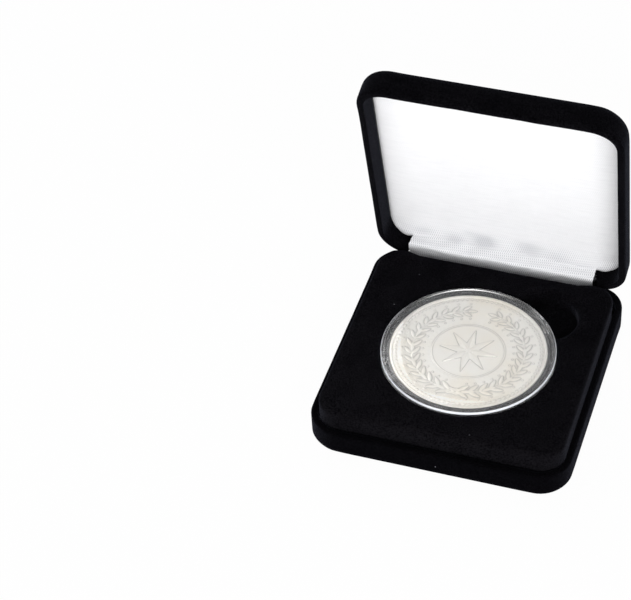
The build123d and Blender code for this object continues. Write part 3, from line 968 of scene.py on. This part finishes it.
# The wreath: its branches' radius, where they start and end, and its leaves and berries
WREATH_RADIUS = 14.4
WREATH_START = math.radians(10)
WREATH_END = math.radians(164)
LEAF_PAIRS = 15
LEAF_LONG = 1.75
LEAF_WIDE = 0.62
LEAF_LEAN = 0.62
LEAF_OUT = 1.15
LEAF_AHEAD = 0.09
BERRY_OUT = 2.75
BERRY_AHEAD = 0.055
TIE_RADIUS = 14.6
# The star and its rings
STAR_POINTS = 8
STAR_TIP = 7.6
STAR_WAIST = 2.9
STAR_RING = 9.37
STAR_INNER_RING = 8.75
# Rows of beads: count, radius, bead radius, height
COIN_BEADS = [(90, 18.75, 0.42, 0.20), (48, 10.35, 0.17, 0.10)]


def dome(distance, half_width, height):
    """A rounded ridge or bead over distances from its middle."""
    return height * np.sqrt(np.clip(1 - (distance / half_width) ** 2, 0, 1))


def leaf(u, v, half_length, half_width):
    """A pointed leaf with a midrib and side veins, lying along u."""
    part = np.clip(u / half_length, -1, 1)
    width = half_width * np.clip(1 - np.abs(part) ** 1.7, 0, 1) ** 0.75 * (1 - 0.22 * part)
    across = np.abs(v) / np.maximum(width, 1e-6)
    body = np.where((np.abs(u) < half_length) & (across < 1), np.sqrt(np.clip(1 - across ** 2, 0, 1)), 0)
    rib = 0.35 * np.exp(-(v / 0.07) ** 2)
    veins = 0.10 * np.sin((u - np.abs(v) * 1.3) * 2 * math.pi / 0.42)
    return body * (0.28 - 0.16 * rib + 0.04 * veins)


def branch_place(side, reach, turn):
    """A place on the wreath's left or right branch, turned up from the tie at the bottom."""
    return side * reach * math.sin(turn), -reach * math.cos(turn)


def wreath_relief(x, y):
    """Two leafy branches with berries, which rise from a tie at the bottom to a gap at the top."""
    stem = dome(np.hypot(x, y) - WREATH_RADIUS, 0.16, 0.14)
    height = np.where(np.abs(np.arctan2(x, -y)) < WREATH_END, stem, 0)
    for side in (-1, 1):
        for index in range(LEAF_PAIRS):
            middle = WREATH_START + index * (WREATH_END - WREATH_START) / (LEAF_PAIRS - 1)
            size = 1.0 - 0.25 * index / LEAF_PAIRS
            leaves = [(LEAF_LEAN, LEAF_OUT, 0.0), (-LEAF_LEAN, -LEAF_OUT, 0.0)]
            if index % 2 == 0:
                leaves.append((0.0, 0.0, LEAF_AHEAD))
            for lean, out, ahead in leaves:
                turn = middle + ahead
                cx, cy = branch_place(side, WREATH_RADIUS + out, turn)
                along_x = side * math.cos(turn - lean)
                along_y = math.sin(turn - lean)
                near = (np.abs(x - cx) < 2.2) & (np.abs(y - cy) < 2.2)
                dx = x[near] - cx
                dy = y[near] - cy
                u = dx * along_x + dy * along_y
                v = -dx * along_y + dy * along_x
                raised = leaf(u, v, LEAF_LONG * size, LEAF_WIDE * size)
                height[near] = np.maximum(height[near], raised)
            for out in (-BERRY_OUT, BERRY_OUT):
                cx, cy = branch_place(side, WREATH_RADIUS + out, middle + BERRY_AHEAD)
                near = (np.abs(x - cx) < 0.6) & (np.abs(y - cy) < 0.6)
                raised = dome(np.hypot(x[near] - cx, y[near] - cy), 0.32, 0.17)
                height[near] = np.maximum(height[near], raised)
    below = y + TIE_RADIUS
    for turn in (-0.5, 0.5):
        u = x * math.cos(turn) + below * math.sin(turn)
        v = below * math.cos(turn) - x * math.sin(turn)
        loop = np.abs(np.hypot(u / 1.5, v / 0.7) - 1)
        height = np.maximum(height, np.where(np.abs(u) < 2.2, dome(loop, 0.28, 0.20), 0))
    return np.maximum(height, dome(np.hypot(x, below), 0.55, 0.27))


def star_relief(radius, angle):
    """An eight-pointed star with sharp ridges, inside a thin ring, with a rosette in its middle."""
    step = math.pi / STAR_POINTS
    part = np.abs(((angle + step) % (2 * step)) - step) / step
    waist_x = STAR_WAIST * math.cos(step)
    waist_y = STAR_WAIST * math.sin(step)
    turned = part * step
    edge = STAR_TIP * waist_y / (np.sin(turned) * (STAR_TIP - waist_x) + np.cos(turned) * waist_y)
    facet = np.where(radius < edge, 0.08 + 0.14 * (1 - radius / edge) + 0.16 * (1 - part), 0)
    petals = 1 + 0.22 * np.cos(STAR_POINTS * angle)
    height = np.maximum(facet * (radius > 0.9), dome(radius, 1.35 * petals, 0.30))
    height = np.maximum(height, dome(radius - STAR_RING, 0.2, 0.16))
    return np.maximum(height, dome(radius - STAR_INNER_RING, 0.09, 0.07))


def bead_relief(radius, angle, count, at, size, height):
    pitch = 2 * math.pi / count
    away = ((angle + pitch / 2) % pitch) - pitch / 2
    distance = np.hypot(radius * np.sin(away), radius * np.cos(away) - at)
    return dome(distance, size, height)


def coin_relief(radius, angle):
    """The height of the relief above the field, in millimetres."""
    x = radius * np.sin(angle)
    y = radius * np.cos(angle)
    height = np.maximum(wreath_relief(x, y), star_relief(radius, angle))
    for beads in COIN_BEADS:
        height = np.maximum(height, bead_relief(radius, angle, *beads))
    return height


def soften_relief(relief):
    """Round the relief's corners as the press leaves them."""
    for _ in range(2):
        relief = (np.roll(relief, 1, axis=1) + 2 * relief + np.roll(relief, -1, axis=1)) / 4
        padded = np.vstack([relief[:1], relief, relief[-1:]])
        relief = (padded[:-2] + 2 * padded[1:-1] + padded[2:]) / 4
    return relief


def painted_relief_shades(relief, inner):
    """Painted shade where the relief falls steeply to the field, in thin lines, and more softly in its
    hollows.
    """
    across = np.gradient(relief, inner, axis=0)
    around = (np.roll(relief, -1, axis=1) - np.roll(relief, 1, axis=1)) / 2
    around /= (inner * 2 * math.pi / AROUND)[:, None]
    steep = np.hypot(across, around)
    low = 1 - smooth_step(relief, 0.04, 0.17)
    hollow = relief
    for _ in range(8):
        hollow = soften_relief(hollow)
    hollow = smooth_step(hollow - relief, 0.008, 0.07)
    return np.maximum(smooth_step(steep, 0.12, 0.6) * low, 0.42 * hollow)


def make_coin():
    inner = np.linspace(0.12, 19.30, 176)
    angles = np.linspace(0, 2 * math.pi, AROUND, endpoint=False)
    radius, angle = np.meshgrid(inner, angles, indexing="ij")
    relief = soften_relief(coin_relief(radius, angle))
    # Painted shade for the relief, noted on the mesh below
    marked = painted_relief_shades(relief, inner)
    reeds = REED_DEPTH * (0.5 + 0.5 * np.cos(angles * REED_COUNT))
    upper_field = COIN_TOP - FIELD
    lower_field = COIN_BOTTOM + FIELD

    def ring(size, height, cut, up):
        reach = size - reeds * cut
        flat = np.column_stack([WELL[0] + reach * np.sin(angles), WELL[1] + reach * np.cos(angles)])
        return level_ring(flat, upper_field + height if up else lower_field - height)

    face = [(size, heights, 0) for size, heights in zip(inner, relief)]
    rings = [ring(*place, True) for place in face + COIN_EDGE]
    rings += [ring(*place, False) for place in COIN_EDGE[::-1] + face[::-2]]
    over = [*WELL, upper_field + 0.30]
    under = [*WELL, lower_field - 0.30]
    piece = skin_piece("coin_struck", rings, coin_silver, over, under)
    under_marked = marked[::-2]
    marks = np.zeros((len(rings), AROUND))
    marks[:len(marked)] = marked
    marks[len(rings) - len(under_marked):] = under_marked
    mark_points(piece, "painted_relief_shade", np.append(marks.ravel(), [0, 0]))
    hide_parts("coin")
    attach(piece, "capsule")


# ---------- the capsule

# Sections as (radius, z) from the middle out and back, and the stretches that are matte or white as a
# painted highlight
COVER_SECTION = [(6.0, 12.0), (14.0, 12.0), (20.9, 12.0), (21.3, 11.9), (21.45, 11.75), (21.45, 10.73),
                 (22.4, 10.73), (22.45, 10.8), (22.45, 11.5), (22.45, 12.05), (22.45, 12.42),
                 (22.43, 12.48), (22.27, 12.67), (22.17, 12.73), (22.05, 12.75), (21.75, 12.77),
                 (21.70, 12.74), (21.65, 12.77), (21.40, 12.76), (21.2, 12.70), (21.05, 12.66),
                 (20.85, 12.62), (20.6, 12.62), (14.0, 12.62), (6.0, 12.62)]
COVER_MATTE = range(12, 19)
COVER_HIGHLIGHT = range(9, 12)
DISH_SECTION = [(6.0, 7.72), (14.0, 7.72), (21.7, 7.72), (22.15, 7.75), (22.38, 7.9), (22.45, 8.1),
                (22.45, 10.63), (22.38, 10.7), (21.43, 10.7), (21.4, 10.75), (21.4, 11.75), (21.3, 11.93),
                (21.1, 11.97), (20.6, 11.97), (20.45, 11.9), (20.4, 11.75), (20.4, 8.92), (20.35, 8.86),
                (14.0, 8.86), (6.0, 8.86)]


def turned_piece(name, section, matte=(), white=()):
    """A solid turned about the well's centre, with some stretches of its section matte or white as a
    painted highlight.
    """
    around = 256
    angles = np.linspace(0, 2 * math.pi, around, endpoint=False)
    circle = np.column_stack([np.cos(angles), np.sin(angles)])
    rings = [level_ring(np.array(WELL) + radius * circle, z) for radius, z in section]
    piece = skin_piece(name, rings, capsule_clear, [*WELL, section[0][1]], [*WELL, section[-1][1]], 40)
    for slot, finish, stretches in ((1, capsule_matte, matte), (2, capsule_edge, white)):
        piece.data.materials.append(finish)
        for stretch in stretches:
            for index in range(stretch * around, (stretch + 1) * around):
                piece.data.polygons[index].material_index = slot
    return piece


def make_capsule():
    cover_piece = turned_piece("capsule_cover_clear", COVER_SECTION, COVER_MATTE, COVER_HIGHLIGHT)
    base_piece = turned_piece("capsule_dish_clear", DISH_SECTION)
    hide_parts("capsule_cover")
    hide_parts("capsule_base")
    for piece in (cover_piece, base_piece):
        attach(piece, "capsule")


# ---------- stage, lights and camera

VIEW_AZIMUTH = math.radians(21.01)
VIEW_ELEVATION = math.radians(44.22)
VIEW_ROLL = math.radians(-3.96)
VIEW_RIGHT = 0.0401
VIEW_UP = -0.01982
VIEW_DISTANCE = 0.58559
VIEW_LENS = 128.46
FLOOR_HALF = 6.0
FLOOR_GLOW = 0.97


def make_camera():
    back = Vector((math.sin(VIEW_AZIMUTH) * math.cos(VIEW_ELEVATION),
                   -math.cos(VIEW_AZIMUTH) * math.cos(VIEW_ELEVATION),
                   math.sin(VIEW_ELEVATION)))
    level = Vector((math.cos(VIEW_AZIMUTH), math.sin(VIEW_AZIMUTH), 0))
    upright = back.cross(level)
    right = math.cos(VIEW_ROLL) * level + math.sin(VIEW_ROLL) * upright
    up = math.cos(VIEW_ROLL) * upright - math.sin(VIEW_ROLL) * level
    place = VIEW_DISTANCE * back - VIEW_RIGHT * right - VIEW_UP * up
    data = bpy.data.cameras.new("camera")
    data.sensor_width = 36
    data.lens = VIEW_LENS
    data.clip_start = 0.01
    data.clip_end = 20
    camera = add_object("camera", data)
    camera.matrix_world = Matrix.Translation(place) @ Matrix((right, up, back)).transposed().to_4x4()
    scene.camera = camera


def seen_ray(tree):
    """1 for rays that show the background: from the camera, in gloss and through clear plastic."""
    path = add_node(tree, "ShaderNodeLightPath")
    seen = maths(tree, "MAXIMUM", path.outputs["Is Camera Ray"], path.outputs["Is Glossy Ray"])
    return maths(tree, "MAXIMUM", seen, path.outputs["Is Transmission Ray"])


def mix_shaders(tree, output_kind, share, first, second):
    """Show a share of the second shader over the first, and give the mix out."""
    mixed = add_node(tree, "ShaderNodeMixShader", {0: share, 1: first.outputs[0], 2: second.outputs[0]})
    add_node(tree, output_kind, {"Surface": mixed.outputs[0]})


def make_floor():
    material = bpy.data.materials.new("floor_white")
    tree = empty_tree(material)
    paper = add_node(tree, "ShaderNodeBsdfDiffuse", {"Color": (0.9, 0.9, 0.9, 1)})
    glow = add_node(tree, "ShaderNodeEmission", {"Color": (1, 1, 1, 1), "Strength": 1.0})
    share = maths(tree, "MULTIPLY", seen_ray(tree), FLOOR_GLOW)
    mix_shaders(tree, "ShaderNodeOutputMaterial", share, paper, glow)
    half = FLOOR_HALF
    mesh = bpy.data.meshes.new("floor")
    mesh.from_pydata([(-half, -half, 0), (half, -half, 0), (half, half, 0), (-half, half, 0)],
                     [], [(0, 1, 2, 3)])
    mesh.materials.append(material)
    add_object("floor", mesh)


def make_world():
    world = bpy.data.worlds.new("studio")
    tree = empty_tree(world)
    soft = add_node(tree, "ShaderNodeBackground", {"Color": (0.96, 0.97, 1.0, 1), "Strength": 0.32})
    white = add_node(tree, "ShaderNodeBackground", {"Color": (1, 1, 1, 1), "Strength": 1.0})
    mix_shaders(tree, "ShaderNodeOutputWorld", seen_ray(tree), soft, white)
    scene.world = world


def make_lamp(name, place, width, height, watts):
    """A broad soft lamp that faces the case."""
    data = bpy.data.lights.new(name, "AREA")
    data.shape = "RECTANGLE"
    data.size = width
    data.size_y = height
    data.energy = watts
    lamp = add_object(name, data)
    lamp.location = place
    lamp.rotation_euler = Vector(place).to_track_quat("Z", "Y").to_euler()


make_camera()
make_floor()
make_world()
make_lamp("front_lamp", (0.50, -1.45, 0.66), 2.0, 1.1, 32.0)
make_lamp("back_lamp", (-0.75, 0.95, 1.35), 1.2, 1.2, 10.0)
scene.view_settings.view_transform = "Standard"

make_base_wrap()
make_lid_wrap()
make_insert_cover()
make_satin_pad()
make_satin_apron()
make_coin()
make_capsule()
